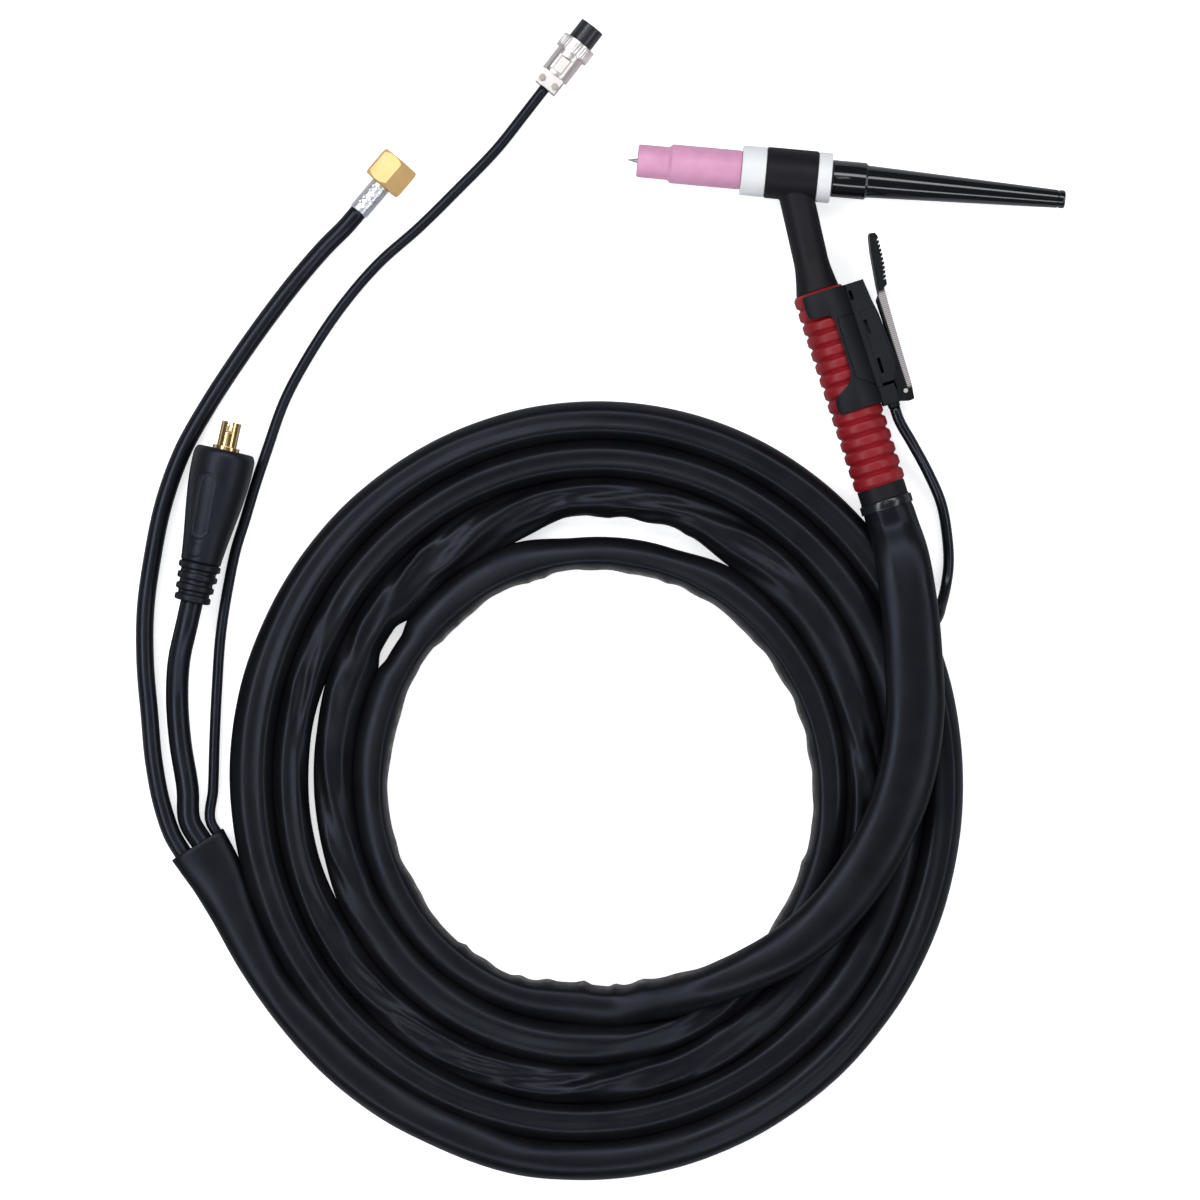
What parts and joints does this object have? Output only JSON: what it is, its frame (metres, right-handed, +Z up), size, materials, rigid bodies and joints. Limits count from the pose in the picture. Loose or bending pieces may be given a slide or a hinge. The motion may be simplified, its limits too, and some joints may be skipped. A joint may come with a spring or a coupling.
{
  "type": "tig welding torch",
  "caption": "Gas-cooled TIG torch with ribbed handle, side trigger and coiled sheath, ending in a gas nut, a bayonet power plug and a round control connector.",
  "frame": {"origin": "on the table under the middle of the torch's own box, leads left out", "axes": "+X along the head from nozzle to back cap, +Z up from the table it lies on, +Y away from the handle"},
  "size_m": [0.4091, 0.5329, 0.0322],
  "materials": {
    "ceramic_pink": "unglazed pink alumina",
    "white_ptfe": "smooth white insulator",
    "neck_rubber": "moulded silicone rubber, matte",
    "cap_gloss": "polished black phenolic",
    "handle_red": "satin red moulding",
    "switch_plastic": "fine satin black nylon",
    "lever_plastic": "black nylon",
    "sheath_vinyl": "soft black leather-like vinyl",
    "cable_rubber": "black rubber jacket",
    "plug_rubber": "moulded black rubber",
    "brass": "machined brass",
    "copper": "copper",
    "tungsten": "ground tungsten",
    "nickel": "nickel plated",
    "crimp_steel": "crimped aluminium sleeve",
    "insert_black": "black insulating insert",
    "button_red": "red plunger",
    "grey_plastic": "switch element"
  },
  "bodies": {
    "root": {"front_ring": "white_ptfe", "collet_body": "brass", "collet": "copper", "head_core": "brass", "head_cover": "neck_rubber", "rear_ring": "white_ptfe", "neck_tube": "brass", "handle": "handle_red", "power_adaptor": "brass", "inner_conductor": "cable_rubber", "inner_hose": "cable_rubber", "end_boot": "neck_rubber", "sheath_tie": "cap_gloss", "switch_clip": "switch_plastic", "switch_housing": "switch_plastic", "switch_cover": "switch_plastic", "micro_switch": "grey_plastic", "lead_clamp": "switch_plastic", "lever_pin": "nickel", "sheath_run": "sheath_vinyl", "sheath_coil": "sheath_vinyl", "sheath_tail": "sheath_vinyl", "gas_hose": "cable_rubber", "hose_ferrule": "crimp_steel", "gas_nipple": "brass", "power_cable": "cable_rubber", "cable_lug": "copper", "plug_sleeve": "plug_rubber", "plug_pin": "brass", "control_lead": "cable_rubber", "connector_clamp": "nickel", "connector_screws": "nickel", "connector_shell": "nickel", "connector_insert": "insert_black", "connector_contacts": "brass", "switch_lead": "cable_rubber"},
    "lever": {"switch_lever": "lever_plastic"},
    "plunger": {"switch_plunger": "button_red"},
    "seal": {"cap_seal": "cable_rubber"},
    "cap": {"back_cap": "cap_gloss"},
    "nozzle": {"ceramic_nozzle": "ceramic_pink"},
    "electrode": {"tungsten_electrode": "tungsten"},
    "nut": {"gas_nut": "brass"},
    "coupling_ring": {"connector_ring": "nickel"}
  },
  "joints": [
    {"name": "lever_hinge", "type": "hinge", "parent": "root", "child": "lever", "pos_m": [0.03552, -0.02325, 0.01395], "axis": [0, 0, 1], "range_deg": [0, 4], "stiffness_Nm_per_rad": 0.5, "springref_deg": -2.86},
    {"name": "plunger_slide", "type": "slide", "parent": "root", "child": "plunger", "axis": [0.9205, 0.3907, 0], "range_m": [-0.0009, 0]},
    {"name": "seal_slide", "type": "slide", "parent": "root", "child": "seal", "axis": [1, 0, 0], "range_m": [0, 0.006]},
    {"name": "cap_spin", "type": "hinge", "parent": "seal", "child": "cap", "pos_m": [-0.02545, 0.07123, 0.01395], "axis": [1, 0, 0], "range_deg": [0, 1441]},
    {"name": "nozzle_spin", "type": "hinge", "parent": "root", "child": "nozzle", "pos_m": [-0.02545, 0.07123, 0.01395], "axis": [1, 0, 0], "continuous": true},
    {"name": "electrode_slide", "type": "slide", "parent": "root", "child": "electrode", "axis": [1, 0, 0], "range_m": [-0.01, 0.005]},
    {"name": "nut_spin", "type": "hinge", "parent": "root", "child": "nut", "pos_m": [-0.2131, 0.0497, 0.01059], "axis": [0.5764, 0.8171, 0], "continuous": true},
    {"name": "ring_spin", "type": "hinge", "parent": "root", "child": "coupling_ring", "pos_m": [-0.1422, 0.101, 0.0085], "axis": [0.5388, 0.8425, 0], "continuous": true}
  ],
  "couplings": [
    {"joint": "plunger_slide", "follows": "lever_hinge", "m_per_rad": -0.012},
    {"joint": "cap_spin", "follows": "seal_slide", "rad_per_m": 4188.8}
  ]
}
